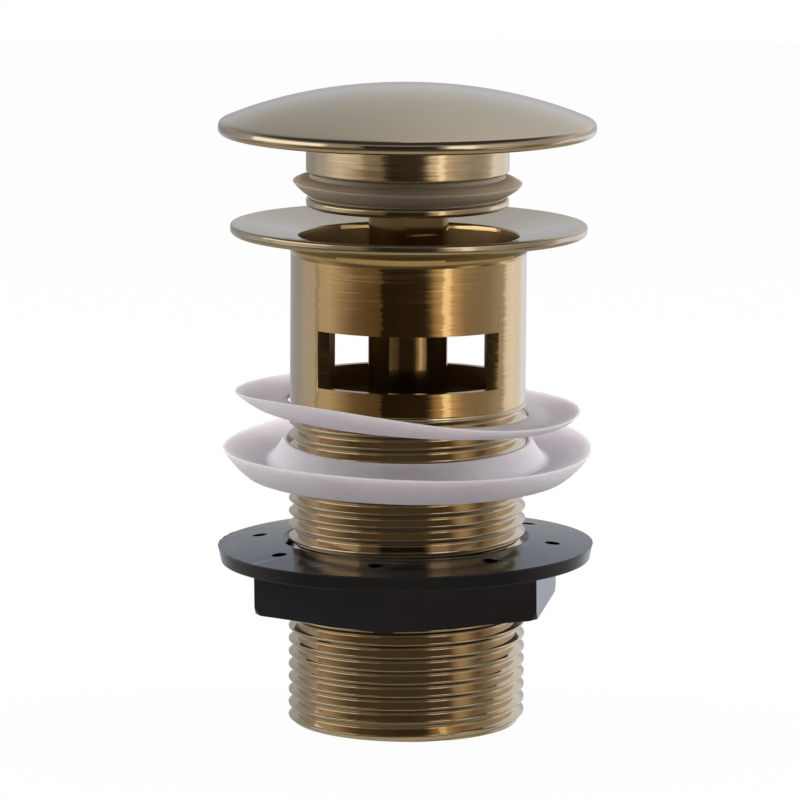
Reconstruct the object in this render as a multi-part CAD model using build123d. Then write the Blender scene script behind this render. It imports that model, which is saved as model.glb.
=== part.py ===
from build123d import *
import math
import os

# Pop up basin waste with a mushroom plug, for a basin with an overflow.
# Millimetres. The origin is the centre of the tail's end face, +Z points up the drain axis,
# and the overflow slots face the front (-Y) and the back (+Y). The plug stands open.

# Waste body: threaded tail, slotted barrel, dished flange
THREAD_R = 20.955
THREAD_TOP_Z = 57.5
TAIL_CHAMFER = 0.65
TAIL_BORE_R = 17.8
BARREL_R = 20.8
BARREL_BORE_R = 19.3
BORE_STEP_Z = 54.5
FLANGE_R = 31.5
FLANGE_TOP_Z = 88.9
FLANGE_THICK = 1.5
FLANGE_DISH = 2.1
FLANGE_FILLET = 2.6
MOUTH_R = 19.5
SLOT_FACE_Y = 13.6
SLOT_LOW_Z = 61.5
SLOT_HEIGHT = 10.0

# Spider that carries the latch inside the tail
SPIDER_ARMS = 4
SPIDER_ARM_W = 4.4
SPIDER_ARM_H = 5.2
SPIDER_TOP_Z = 44.5
SPIDER_HUB_R = 7.4
SPIDER_HUB_H = 7.0

# Latch core, its bolt and the bolt's fixings
STEM_R = 2.5
STEM_HEAD_H = 3.2
GUIDE_PIN_R = 2.9
GUIDE_PIN_H = 13.8
CORE_R = 4.65
CORE_H = 19.5
TRACK_FLOOR_R = 3.45
STOP_WASHER_H = 0.8
LOCK_WASHER_H = 1.1
LOCK_WASHER_R = 4.6
LOCK_NUT_AF = 8.0
LOCK_NUT_H = 4.0
STEM_TAIL = 1.6

# Indexing ring: its pegs run in the zig-zag track as the plug is pressed
PLUG_TRAVEL = 10.0
OVER_TRAVEL = 1.0
STROKE_TURN = 33.0
LATCH_TURN = 75.0
RETURN_TURN = 110.0
RING_PEGS = 2
RING_H = 3.5
PEG_R = 0.9

# Sleeve that slides on the latch core and carries the plug
SLEEVE_R = 7.0
SLEEVE_BORE_R = 5.3
RING_BORE_R = 6.0
SLEEVE_TIP_H = 0.3
CLIP_H = 0.6
CLIP_GRIP = 0.35
CLIP_RIM = 1.0
BUSH_H = 3.1
SLEEVE_ROOF_H = 4.0
FLAT_AF = 12.0
FLAT_LOW_Z = 87.5
FLAT_TURN = 27.0
SPRING_WIRE_R = 0.5
SPRING_COIL_R = 4.55
SPRING_TURNS = 8.5
SPRING_SEAT_H = 1.0

# Plug, its seal and the mushroom cap
PLUG_LOW_Z = 92.0
PLUG_LOWER_R = 17.85
PLUG_UPPER_R = 17.9
PLUG_LOWER_H = 1.5
SEAL_GROOVE_H = 4.5
SEAL_GROOVE_R = 14.0
PLUG_UPPER_H = 7.0
PLUG_SOCKET_H = 7.0
PLUG_EDGE = 0.35
LIP_R = 20.2
LIP_RISE = 2.75
LIP_EDGE = 0.25
LIP_ROOT_R = 17.4
CAP_R = 33.25
CAP_H = 8.35
CAP_EDGE_H = 1.25
CAP_DOME_R = 88.0
CAP_SHELL = 2.4
CAP_LAND_R = 29.0
CAP_BOSS_R = 9.0
STUD_R = 3.0
STUD_H = 14.8

# Two soft washers: a thin dished one near the flange, a thick hubbed one below it
WASHER_BORE_R = 21.35
UPPER_WASHER_R = 30.65
UPPER_WASHER_RIM_Z = 57.5
UPPER_WASHER_H = 3.2
UPPER_WASHER_FLOOR = 1.7
UPPER_WASHER_FLOOR_R = 25.0
UPPER_WASHER_FOOT_R = 27.8
UPPER_WASHER_TILT_Y = 3.9
UPPER_WASHER_TILT_X = -1.3
LOWER_WASHER_R = 32.65
LOWER_WASHER_RIM_Z = 49.6
LOWER_WASHER_FOOT_Z = 44.9
LOWER_WASHER_FOOT_R = 28.8
LOWER_WASHER_VALLEY_R = 24.1
LOWER_WASHER_VALLEY_Z = 46.6
LOWER_WASHER_HUB_Z = 50.6
LOWER_WASHER_HUB_W = 0.5
LOWER_WASHER_TILT_X = 2.4

# Back nut: one moulding with a round flange and a hexagon
NUT_LOW_Z = 21.0
NUT_HEX_AF = 50.0
NUT_HEX_H = 8.3
NUT_HEX_TURN = -8.2
NUT_FLANGE_R = 33.3
NUT_FLANGE_TAPER = 0.5
NUT_FLANGE_H = 2.45
NUT_MOUTH_R = 22.4
NUT_MOUTH_H = 1.3
NUT_CORNER_CUT = 1.4
NUT_HOLES = 8
NUT_HOLE_R = 1.4
NUT_HOLE_DEPTH = 1.9
NUT_HOLE_CIRCLE_R = 26.6
NUT_HOLE_TURN = -12.0

# Clearances
RUN_FIT = 0.05
RING_FIT = 0.10
NUT_FIT = 0.095
PEG_FIT = 0.30
SEAT_FIT = 0.05
CUT = 1.0

# Heights that follow from the stack on the spider
CORE_TOP_Z = SPIDER_TOP_Z + CORE_H
HEAD_LOW_Z = CORE_TOP_Z + STOP_WASHER_H
HEAD_TOP_Z = HEAD_LOW_Z + STEM_HEAD_H
RING_TOP_Z = CORE_TOP_Z - RING_FIT
RING_LOW_Z = RING_TOP_Z - RING_H
PEG_Z = RING_LOW_Z + RING_H / 2
BUSH_TOP_Z = RING_LOW_Z - RING_FIT
BUSH_LOW_Z = BUSH_TOP_Z - BUSH_H
CLIP_LOW_Z = BUSH_LOW_Z - CLIP_H
SLEEVE_LOW_Z = CLIP_LOW_Z - SLEEVE_TIP_H
SLEEVE_TOP_Z = PLUG_LOW_Z + PLUG_SOCKET_H
SLEEVE_CEILING_Z = SLEEVE_TOP_Z - SLEEVE_ROOF_H
SPRING_TOP_Z = SLEEVE_CEILING_Z - SPRING_SEAT_H
PLUG_TOP_Z = PLUG_LOW_Z + PLUG_LOWER_H + SEAL_GROOVE_H + PLUG_UPPER_H
STUD_LOW_Z = SLEEVE_CEILING_Z + SEAT_FIT
HUB_LOW_Z = SPIDER_TOP_Z - SPIDER_HUB_H
LOCK_WASHER_LOW_Z = HUB_LOW_Z - LOCK_WASHER_H
LOCK_NUT_LOW_Z = LOCK_WASHER_LOW_Z - LOCK_NUT_H
NUT_HEX_TOP_Z = NUT_LOW_Z + NUT_HEX_H
NUT_TOP_Z = NUT_HEX_TOP_Z + NUT_FLANGE_H
STROKE = PLUG_TRAVEL + OVER_TRAVEL


def turned(*points):
    """A solid of revolution about Z from (radius, height) corners."""
    profile = Plane.XZ * Polyline(*points, close=True)
    return revolve(make_face(profile), Axis.Z)


def ring(low_z, height, inner_r, outer_r):
    """A plain ring on the drain axis."""
    return turned(
        (inner_r, low_z),
        (outer_r, low_z),
        (outer_r, low_z + height),
        (inner_r, low_z + height),
    )


def rod(low_z, height, radius):
    """A plain round bar on the drain axis."""
    return Pos(0, 0, low_z) * Cylinder(radius, height, align=(Align.CENTER, Align.CENTER, Align.MIN))


def front_turn(degrees):
    """The turn about Z that carries +X to a direction measured from the front towards +X."""
    return Rot(0, 0, degrees - 90)


def flange_height(radius):
    """Height of the flange's dished top face at a radius."""
    share = (FLANGE_R - radius) / (FLANGE_R - MOUTH_R)
    return FLANGE_TOP_Z - FLANGE_DISH * share


def body_profile():
    """Half section of the waste body, from the tail's bore round the outside to the mouth."""
    rim_r = FLANGE_THICK / 2
    rim_z = FLANGE_TOP_Z - rim_r
    under_r = BARREL_R + FLANGE_FILLET
    under_z = flange_height(under_r) - FLANGE_THICK
    edge_r = FLANGE_R - rim_r
    mouth_z = flange_height(MOUTH_R)
    tail = Polyline(
        (TAIL_BORE_R, 0),
        (THREAD_R - TAIL_CHAMFER, 0),
        (THREAD_R, TAIL_CHAMFER),
        (THREAD_R, THREAD_TOP_Z),
        (BARREL_R, THREAD_TOP_Z),
        (BARREL_R, under_z - FLANGE_FILLET),
    )
    fillet = TangentArc((BARREL_R, under_z - FLANGE_FILLET), (under_r, under_z), tangent=(0, 1))
    under = Line((under_r, under_z), (edge_r, rim_z - rim_r))
    rim = ThreePointArc((edge_r, rim_z - rim_r), (FLANGE_R, rim_z), (edge_r, rim_z + rim_r))
    dish = Line((edge_r, rim_z + rim_r), (MOUTH_R + SEAT_FIT, mouth_z))
    step = BARREL_BORE_R - TAIL_BORE_R
    bore = Polyline(
        (MOUTH_R + SEAT_FIT, mouth_z),
        (MOUTH_R, mouth_z - SEAT_FIT),
        (BARREL_BORE_R, mouth_z - CUT),
        (BARREL_BORE_R, BORE_STEP_Z + step),
        (TAIL_BORE_R, BORE_STEP_Z),
        (TAIL_BORE_R, 0),
    )
    return make_face(Plane.XZ * Curve([tail, fillet, under, rim, dish, bore]))


def spider():
    """Hub on four arms, bored for the latch's bolt."""
    hub = rod(HUB_LOW_Z, SPIDER_HUB_H, SPIDER_HUB_R)
    arm_low_z = SPIDER_TOP_Z - SPIDER_ARM_H - CUT
    arm_r = TAIL_BORE_R + (THREAD_R - TAIL_BORE_R) / 3
    for n in range(SPIDER_ARMS):
        bar = Box(arm_r, SPIDER_ARM_W, SPIDER_ARM_H, align=(Align.MIN, Align.CENTER, Align.MIN))
        hub += Rot(0, 0, (n + 0.5) * 360 / SPIDER_ARMS) * Pos(0, 0, arm_low_z) * bar
    return hub - rod(HUB_LOW_Z - CUT, SPIDER_HUB_H + 2 * CUT, STEM_R + SEAT_FIT)


def waste_body():
    """Flange, barrel, threaded tail and spider in one casting, with its two overflow slots."""
    shell = revolve(body_profile(), Axis.Z)
    slot = Pos(0, 0, SLOT_LOW_Z) * Box(
        4 * BARREL_R, BARREL_R, SLOT_HEIGHT, align=(Align.CENTER, Align.MIN, Align.MIN)
    )
    shell -= Pos(0, SLOT_FACE_Y, 0) * slot
    shell -= Pos(0, -SLOT_FACE_Y - BARREL_R, 0) * slot
    return shell + spider()


def track_leg(start, end):
    """One leg of the peg's track: a band cut along a helix between two (turn, height) points."""
    turn = end[0] - start[0]
    rise = end[1] - start[1]
    if rise < 0:
        return track_leg(end, start)
    lead = 360 * rise / abs(turn)
    path = Helix(lead, rise, CORE_R, lefthand=turn < 0)
    depth = CORE_R - TRACK_FLOOR_R
    width = 2 * (PEG_R + PEG_FIT)
    across = Plane(path @ 0, x_dir=(1, 0, 0), z_dir=path % 0)
    section = across * Rectangle(2 * depth, width)
    leg = sweep(section, path=path, is_frenet=True)
    return front_turn(start[0]) * Pos(0, 0, start[1]) * leg


def track_end(turn, height):
    """Round pocket where two legs of the track meet."""
    depth = 2 * (CORE_R - TRACK_FLOOR_R)
    pocket = Rot(0, 90, 0) * Cylinder(PEG_R + PEG_FIT, depth)
    return front_turn(turn) * Pos(CORE_R, 0, height) * pocket


def track_core():
    """Latch core with its zig-zag track: down to the valley, back to the notch, and up again."""
    core = rod(SPIDER_TOP_Z, CORE_H, CORE_R)
    sector = 360 / RING_PEGS
    for n in range(RING_PEGS):
        start = n * sector
        low_z = PEG_Z - STROKE
        corners = [
            (start, PEG_Z),
            (start - STROKE_TURN, low_z),
            (start - LATCH_TURN, PEG_Z - PLUG_TRAVEL),
            (start - RETURN_TURN, low_z),
            (start - sector, PEG_Z),
        ]
        for a, b in zip(corners, corners[1:]):
            core -= track_leg(a, b)
        for corner in corners[:-1]:
            core -= track_end(*corner)
        entry = Box(
            2 * (CORE_R - TRACK_FLOOR_R),
            2 * (PEG_R + PEG_FIT),
            CORE_TOP_Z - PEG_Z + CUT,
            align=(Align.CENTER, Align.CENTER, Align.MIN),
        )
        core -= front_turn(start) * Pos(CORE_R, 0, PEG_Z) * entry
    return core - rod(SPIDER_TOP_Z - CUT, CORE_H + 2 * CUT, STEM_R + SEAT_FIT)


def latch_stem():
    """Shouldered bolt: spring guide, head that stops the sleeve, shank down through the spider."""
    stem = rod(HEAD_TOP_Z, GUIDE_PIN_H, GUIDE_PIN_R)
    stem = chamfer(stem.edges().group_by(Axis.Z)[-1], PEG_R)
    stem += rod(HEAD_LOW_Z, STEM_HEAD_H, SLEEVE_BORE_R - RING_FIT)
    shank_low_z = LOCK_NUT_LOW_Z - STEM_TAIL
    return stem + rod(shank_low_z, HEAD_LOW_Z - shank_low_z, STEM_R)


def lock_washer():
    """Split spring washer between the spider and the lock nut."""
    washer = ring(LOCK_WASHER_LOW_Z, LOCK_WASHER_H, STEM_R + SEAT_FIT, LOCK_WASHER_R)
    gap = Box(LOCK_WASHER_R, SPRING_WIRE_R, 3 * LOCK_WASHER_H, align=(Align.MIN, Align.CENTER, Align.CENTER))
    return washer - Pos(0, 0, LOCK_WASHER_LOW_Z) * Rot(25, 0, 0) * gap


def lock_nut():
    """Hexagon nut on the bolt's end."""
    blank = extrude(RegularPolygon(LOCK_NUT_AF / 2, 6, major_radius=False), LOCK_NUT_H)
    return Pos(0, 0, LOCK_NUT_LOW_Z) * blank - rod(
        LOCK_NUT_LOW_Z - CUT, LOCK_NUT_H + 2 * CUT, STEM_R + SEAT_FIT
    )


def index_ring():
    """Ring that turns in the sleeve, with pegs that reach into the track."""
    blank = ring(RING_LOW_Z, RING_H, CORE_R + RING_FIT, RING_BORE_R - RING_FIT)
    wall = RING_BORE_R - RING_FIT - CORE_R - RING_FIT
    reach = CORE_R - TRACK_FLOOR_R - PEG_FIT + RING_FIT + wall / 2
    peg = Rot(0, 90, 0) * Cylinder(PEG_R, reach, align=(Align.CENTER, Align.CENTER, Align.MIN))
    for n in range(RING_PEGS):
        blank += front_turn(n * 360 / RING_PEGS) * Pos(TRACK_FLOOR_R + PEG_FIT, 0, PEG_Z) * peg
    return blank


def latch_sleeve():
    """Closed tube that slides on the core: ring seat and clip groove below, flats and screwed top above."""
    tube = turned(
        (RING_BORE_R, SLEEVE_LOW_Z),
        (SLEEVE_R, SLEEVE_LOW_Z),
        (SLEEVE_R, SLEEVE_TOP_Z),
        (STUD_R + SEAT_FIT, SLEEVE_TOP_Z),
        (STUD_R + SEAT_FIT, SLEEVE_CEILING_Z),
        (SLEEVE_BORE_R, SLEEVE_CEILING_Z),
        (SLEEVE_BORE_R, CORE_TOP_Z),
        (RING_BORE_R, CORE_TOP_Z),
    )
    tube -= ring(CLIP_LOW_Z - SEAT_FIT, CLIP_H + SEAT_FIT, SLEEVE_BORE_R, RING_BORE_R + CLIP_GRIP + SEAT_FIT)
    side = Box(
        SLEEVE_R, 2 * SLEEVE_R, PLUG_LOW_Z - FLAT_LOW_Z, align=(Align.MIN, Align.CENTER, Align.MIN)
    )
    for turn in (FLAT_TURN, FLAT_TURN + 180):
        tube -= front_turn(turn) * Pos(FLAT_AF / 2, 0, FLAT_LOW_Z) * side
    return tube


def sleeve_bush():
    """Guide bush at the sleeve's foot."""
    return ring(BUSH_LOW_Z, BUSH_H, CORE_R + RUN_FIT, RING_BORE_R - SEAT_FIT)


def bush_clip():
    """Open snap ring that keeps the bush in."""
    clip = ring(CLIP_LOW_Z, CLIP_H, RING_BORE_R - CLIP_RIM, RING_BORE_R + CLIP_GRIP)
    mouth = Box(2 * RING_BORE_R, 3 * CLIP_RIM, 2 * CUT, align=(Align.MIN, Align.CENTER, Align.CENTER))
    return clip - Pos(0, 0, CLIP_LOW_Z) * mouth


def return_spring():
    """Coil spring between the bolt's head and its seat under the sleeve's ceiling."""
    length = SPRING_TOP_Z - HEAD_TOP_Z - 2 * SPRING_WIRE_R - 2 * SEAT_FIT
    path = Helix(length / SPRING_TURNS, length, SPRING_COIL_R)
    wire = Plane(path @ 0, z_dir=path % 0) * Circle(SPRING_WIRE_R)
    coil = sweep(wire, path=path, is_frenet=True)
    return Pos(0, 0, HEAD_TOP_Z + SPRING_WIRE_R + SEAT_FIT) * coil


def plug_body():
    """Turned plug with its two rings, the seal's groove and the sleeve's socket."""
    groove_low_z = PLUG_LOW_Z + PLUG_LOWER_H
    groove_top_z = groove_low_z + SEAL_GROOVE_H
    return turned(
        (SLEEVE_R + SEAT_FIT, PLUG_LOW_Z),
        (PLUG_LOWER_R - PLUG_EDGE, PLUG_LOW_Z),
        (PLUG_LOWER_R, PLUG_LOW_Z + PLUG_EDGE),
        (PLUG_LOWER_R, groove_low_z),
        (SEAL_GROOVE_R, groove_low_z),
        (SEAL_GROOVE_R, groove_top_z),
        (PLUG_UPPER_R - PLUG_EDGE, groove_top_z),
        (PLUG_UPPER_R, groove_top_z + PLUG_EDGE),
        (PLUG_UPPER_R, PLUG_TOP_Z),
        (STUD_R + SEAT_FIT, PLUG_TOP_Z),
        (STUD_R + SEAT_FIT, SLEEVE_TOP_Z),
        (SLEEVE_R + SEAT_FIT, SLEEVE_TOP_Z),
    )


def plug_seal():
    """Soft lip seal: a band in the groove with a lip that flares out and up."""
    low_z = PLUG_LOW_Z + PLUG_LOWER_H + SEAT_FIT
    top_z = low_z + SEAL_GROOVE_H - 2 * SEAT_FIT
    tip_z = low_z + LIP_RISE
    inner_r = SEAL_GROOVE_R + SEAT_FIT
    foot_z = low_z + CLIP_H
    band = Polyline((LIP_ROOT_R, foot_z), (LIP_ROOT_R, low_z), (inner_r, low_z), (inner_r, top_z))
    top = Line((inner_r, top_z), (LIP_ROOT_R, top_z))
    slope = Line((LIP_ROOT_R, top_z), (LIP_R - LIP_EDGE, tip_z + LIP_EDGE))
    tip = Line((LIP_R - LIP_EDGE, tip_z + LIP_EDGE), (LIP_R, tip_z))
    hollow = TangentArc((LIP_ROOT_R, foot_z), (LIP_R, tip_z), tangent=(1, 0.1))
    face = make_face(Plane.XZ * Curve([band, top, slope, tip, hollow]))
    return revolve(face, Axis.Z)


def dome_drop(radius, dome_r):
    """How far a dome of radius dome_r has fallen at a distance from the axis."""
    return dome_r - math.sqrt(dome_r**2 - radius**2)


def mushroom_cap():
    """Domed cover with a rounded rim, hollow underneath round a screwed boss."""
    apex_z = PLUG_TOP_Z + CAP_H
    tip_z = PLUG_TOP_Z + CAP_EDGE_H
    shoulder_r = CAP_R - CAP_EDGE_H
    shoulder_z = apex_z - dome_drop(shoulder_r, CAP_DOME_R)
    inner_r = CAP_DOME_R - CAP_SHELL
    roof_z = apex_z - CAP_SHELL
    hollow_r = CAP_LAND_R - CUT
    middle_r = (CAP_BOSS_R + hollow_r) / 2
    dome = ThreePointArc(
        (0, apex_z),
        (shoulder_r / 2, apex_z - dome_drop(shoulder_r / 2, CAP_DOME_R)),
        (shoulder_r, shoulder_z),
    )
    turn_in = TangentArc((shoulder_r, shoulder_z), (CAP_R, tip_z), tangent=(dome % 1))
    foot = ThreePointArc(
        (CAP_R, tip_z),
        (CAP_R - CAP_EDGE_H * (1 - math.sqrt(0.5)), PLUG_TOP_Z + CAP_EDGE_H * (1 - math.sqrt(0.5))),
        (shoulder_r, PLUG_TOP_Z),
    )
    land = Polyline(
        (shoulder_r, PLUG_TOP_Z),
        (CAP_LAND_R, PLUG_TOP_Z),
        (hollow_r, roof_z - dome_drop(hollow_r, inner_r)),
    )
    roof = ThreePointArc(
        (hollow_r, roof_z - dome_drop(hollow_r, inner_r)),
        (middle_r, roof_z - dome_drop(middle_r, inner_r)),
        (CAP_BOSS_R, roof_z - dome_drop(CAP_BOSS_R, inner_r)),
    )
    hole_top_z = STUD_LOW_Z + STUD_H + SEAT_FIT
    boss = Polyline(
        (CAP_BOSS_R, roof_z - dome_drop(CAP_BOSS_R, inner_r)),
        (CAP_BOSS_R, PLUG_TOP_Z),
        (STUD_R + SEAT_FIT, PLUG_TOP_Z),
        (STUD_R + SEAT_FIT, hole_top_z),
        (0, hole_top_z),
        (0, apex_z),
    )
    face = make_face(Plane.XZ * Curve([dome, turn_in, foot, land, roof, boss]))
    return revolve(face, Axis.Z)


def cap_stud():
    """Stud that screws the cap and the plug down onto the sleeve."""
    stud = rod(STUD_LOW_Z, STUD_H, STUD_R)
    ends = stud.edges().filter_by(GeomType.CIRCLE)
    return chamfer(ends, PLUG_EDGE)


def askew(washer, height, tilt_x, tilt_y):
    """A washer that lies tilted on the thread, about a point on the drain axis."""
    middle = Pos(0, 0, height)
    return middle * Rot(tilt_x, tilt_y, 0) * middle.inverse() * washer


def upper_washer():
    """Thin dished washer that lies a little askew on the thread."""
    foot_z = UPPER_WASHER_RIM_Z - UPPER_WASHER_H
    floor_z = foot_z + UPPER_WASHER_FLOOR
    edge = PLUG_EDGE
    disc = turned(
        (WASHER_BORE_R, foot_z),
        (UPPER_WASHER_FOOT_R, foot_z),
        (UPPER_WASHER_R, UPPER_WASHER_RIM_Z - edge),
        (UPPER_WASHER_R, UPPER_WASHER_RIM_Z),
        (UPPER_WASHER_R - edge, UPPER_WASHER_RIM_Z + edge),
        (UPPER_WASHER_FLOOR_R, floor_z),
        (WASHER_BORE_R, floor_z),
    )
    return askew(disc, UPPER_WASHER_RIM_Z, UPPER_WASHER_TILT_X, UPPER_WASHER_TILT_Y)


def lower_washer():
    """Thick washer: a dish with a conical hub, bulged outside, leaning towards the front."""
    rim = (LOWER_WASHER_R, LOWER_WASHER_RIM_Z)
    foot = (LOWER_WASHER_FOOT_R, LOWER_WASHER_FOOT_Z)
    inside = Polyline(
        foot,
        (WASHER_BORE_R, LOWER_WASHER_FOOT_Z),
        (WASHER_BORE_R, LOWER_WASHER_HUB_Z),
        (WASHER_BORE_R + LOWER_WASHER_HUB_W, LOWER_WASHER_HUB_Z),
        (LOWER_WASHER_VALLEY_R, LOWER_WASHER_VALLEY_Z),
        rim,
    )
    height = LOWER_WASHER_RIM_Z - LOWER_WASHER_FOOT_Z
    bulge = TangentArc(rim, foot, tangent=(-0.25 * height, -height))
    washer = revolve(make_face(Plane.XZ * Curve([inside, bulge])), Axis.Z)
    return askew(washer, LOWER_WASHER_RIM_Z, LOWER_WASHER_TILT_X, 0)


def back_nut():
    """Moulded hexagon nut with a round flange and a ring of blind holes in its top."""
    flange = turned(
        (0, NUT_HEX_TOP_Z),
        (NUT_FLANGE_R - NUT_FLANGE_TAPER, NUT_HEX_TOP_Z),
        (NUT_FLANGE_R, NUT_TOP_Z - PLUG_EDGE),
        (NUT_FLANGE_R - PLUG_EDGE, NUT_TOP_Z),
        (0, NUT_TOP_Z),
    )
    hexagon = Pos(0, 0, NUT_LOW_Z) * extrude(
        RegularPolygon(NUT_HEX_AF / 2, 6, major_radius=False), NUT_HEX_H
    )
    corner_r = NUT_HEX_AF / math.sqrt(3)
    cone = turned(
        (0, NUT_LOW_Z),
        (corner_r - NUT_CORNER_CUT, NUT_LOW_Z),
        (corner_r, NUT_LOW_Z + NUT_CORNER_CUT),
        (corner_r, NUT_HEX_TOP_Z),
        (0, NUT_HEX_TOP_Z),
    )
    hexagon = hexagon & cone
    nut = flange + front_turn(NUT_HEX_TURN) * hexagon
    bore_r = THREAD_R + NUT_FIT
    nut -= turned(
        (0, NUT_LOW_Z - CUT),
        (bore_r, NUT_LOW_Z - CUT),
        (bore_r, NUT_TOP_Z - NUT_MOUTH_H),
        (NUT_MOUTH_R, NUT_TOP_Z),
        (NUT_MOUTH_R, NUT_TOP_Z + CUT),
        (0, NUT_TOP_Z + CUT),
    )
    for n in range(NUT_HOLES):
        hole = rod(NUT_TOP_Z - NUT_HOLE_DEPTH, NUT_HOLE_DEPTH + CUT, NUT_HOLE_R)
        nut -= front_turn(NUT_HOLE_TURN + n * 360 / NUT_HOLES) * Pos(NUT_HOLE_CIRCLE_R, 0, 0) * hole
    return nut


def stop_washer():
    """Hard washer under the bolt's head, where the ring comes to rest."""
    return ring(CORE_TOP_Z, STOP_WASHER_H, STEM_R + SEAT_FIT, SLEEVE_BORE_R - RING_FIT)


def spring_seat():
    """Washer between the spring and the sleeve's ceiling."""
    return ring(SPRING_TOP_Z, SPRING_SEAT_H, STUD_R + SEAT_FIT, SLEEVE_BORE_R - SEAT_FIT)


PIECES = [
    waste_body,
    track_core,
    latch_stem,
    stop_washer,
    lock_washer,
    lock_nut,
    return_spring,
    index_ring,
    latch_sleeve,
    sleeve_bush,
    bush_clip,
    spring_seat,
    plug_body,
    plug_seal,
    mushroom_cap,
    cap_stud,
    upper_washer,
    lower_washer,
    back_nut,
]

os.makedirs("parts", exist_ok=True)
for piece in PIECES:
    export_step(piece(), f"parts/{piece.__name__}.step")
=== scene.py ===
import math

import bmesh
import bpy
from mathutils import Matrix, Vector


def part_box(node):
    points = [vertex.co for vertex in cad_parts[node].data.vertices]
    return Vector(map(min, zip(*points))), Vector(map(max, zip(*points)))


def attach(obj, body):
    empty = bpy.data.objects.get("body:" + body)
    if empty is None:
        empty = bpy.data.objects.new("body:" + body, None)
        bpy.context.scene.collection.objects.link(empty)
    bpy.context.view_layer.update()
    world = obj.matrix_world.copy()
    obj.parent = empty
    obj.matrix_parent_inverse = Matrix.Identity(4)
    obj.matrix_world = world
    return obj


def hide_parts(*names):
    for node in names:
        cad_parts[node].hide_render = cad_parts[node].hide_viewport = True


# Pop up basin waste in champagne gold brass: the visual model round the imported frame.
# Profiles are in millimetres (radius, height) and turned into metres when a mesh is made.

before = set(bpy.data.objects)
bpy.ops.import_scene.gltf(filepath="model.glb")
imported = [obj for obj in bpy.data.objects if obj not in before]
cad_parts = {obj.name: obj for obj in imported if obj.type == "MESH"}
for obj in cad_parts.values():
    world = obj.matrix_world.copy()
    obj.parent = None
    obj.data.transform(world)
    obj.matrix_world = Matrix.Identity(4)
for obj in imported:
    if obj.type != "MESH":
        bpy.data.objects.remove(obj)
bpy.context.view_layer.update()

MM = 0.001
ROUND = 288


def low(node):
    """Lowest height of a node, in millimetres."""
    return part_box(node)[0].z / MM


def high(node):
    """Highest height of a node, in millimetres."""
    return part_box(node)[1].z / MM


def wide(node):
    """Largest radius of a node, in millimetres."""
    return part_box(node)[1].x / MM


# Sizes that the frame gives
FLANGE_R = wide("waste_body")
FLANGE_TOP = high("waste_body")
CAP_R = wide("mushroom_cap")
CAP_TOP = high("mushroom_cap")
PLUG_TOP = low("mushroom_cap")
PLUG_LOW = low("plug_body")
POST_R = wide("latch_sleeve")
POST_LOW = low("latch_sleeve")
POST_TOP = high("latch_sleeve")
CORE_TOP = high("track_core")
SPIDER_TOP = low("track_core")
NUT_R = wide("back_nut")
NUT_LOW = low("back_nut")
NUT_TOP = high("back_nut")
LIP_R = wide("plug_seal")
HUB_WASHER_R = wide("lower_washer")

# Waste body
THREAD_R = 20.955
THREAD_PITCH = 2.309
THREAD_DEPTH = 1.18
THREAD_TOP = 57.5
THREAD_START = -0.58
THREAD_RUN_OUT = 1.2
TAIL_CHAMFER = 0.65
TAIL_BORE_R = 17.8
BARREL_R = 20.8
BARREL_BORE_R = 19.3
BORE_STEP = 54.5
FLANGE_THICK = 1.5
FLANGE_RIM_THICK = 1.87
FLANGE_DISH = 2.1
FLANGE_FILLET = 2.6
MOUTH_R = 19.5
SLOT_FACE = 13.6
SLOT_LOW = 61.5
SLOT_HEIGHT = 10.0

# How the pieces stand in the photograph, in degrees and millimetres: a little askew in their play.
# A lean tips a piece towards +X, and a nod lifts its front.
CAP_NOD = 0.2
CAP_SHIFT = -0.28
PLUG_SHIFT = -0.2
BARREL_LEAN = 0.115
BARREL_NOD = 0.67
NUT_LEAN = -0.75
NUT_NOD = 0.8
NUT_SHIFT = -0.2
NUT_SINK = 0.15


def arc(start, middle, end, steps):
    """Points of the circle through three points, both ends among them."""
    (ax, ay), (bx, by), (cx, cy) = start, middle, end
    d = 2 * (ax * (by - cy) + bx * (cy - ay) + cx * (ay - by))
    a2, b2, c2 = ax * ax + ay * ay, bx * bx + by * by, cx * cx + cy * cy
    ux = (a2 * (by - cy) + b2 * (cy - ay) + c2 * (ay - by)) / d
    uy = (a2 * (cx - bx) + b2 * (ax - cx) + c2 * (bx - ax)) / d
    radius = math.hypot(ax - ux, ay - uy)
    first = math.atan2(ay - uy, ax - ux)
    through = math.atan2(by - uy, bx - ux)
    last = math.atan2(cy - uy, cx - ux)
    sweep = (last - first) % math.tau
    if (through - first) % math.tau > sweep:
        sweep -= math.tau
    return [
        (ux + radius * math.cos(first + sweep * k / steps), uy + radius * math.sin(first + sweep * k / steps))
        for k in range(steps + 1)
    ]


def eased(corners, closed=True, steps=5, close=0.03):
    """Turns (radius, height, easing) corners into points, with an arc at each eased corner.

    A point close to either end of the arc keeps the straight parts flat in their shading."""
    count = len(corners)
    points = []
    for k, corner in enumerate(corners):
        here = Vector(corner[:2])
        easing = corner[2] if len(corner) > 2 else 0.0
        ends = not closed and k in (0, count - 1)
        if easing <= 0 or ends:
            points.append(tuple(here))
            continue
        back = (Vector(corners[k - 1][:2]) - here).normalized()
        ahead = (Vector(corners[(k + 1) % count][:2]) - here).normalized()
        half = back.angle(ahead) / 2
        reach = easing / math.tan(half)
        centre = here + (back + ahead).normalized() * (easing / math.sin(half))
        inner = here + (centre - here).normalized() * ((centre - here).length - easing)
        points.append(tuple(here + back * (reach + close)))
        points += arc(tuple(here + back * reach), tuple(inner), tuple(here + ahead * reach), steps)
        points.append(tuple(here + ahead * (reach + close)))
    return points


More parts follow.
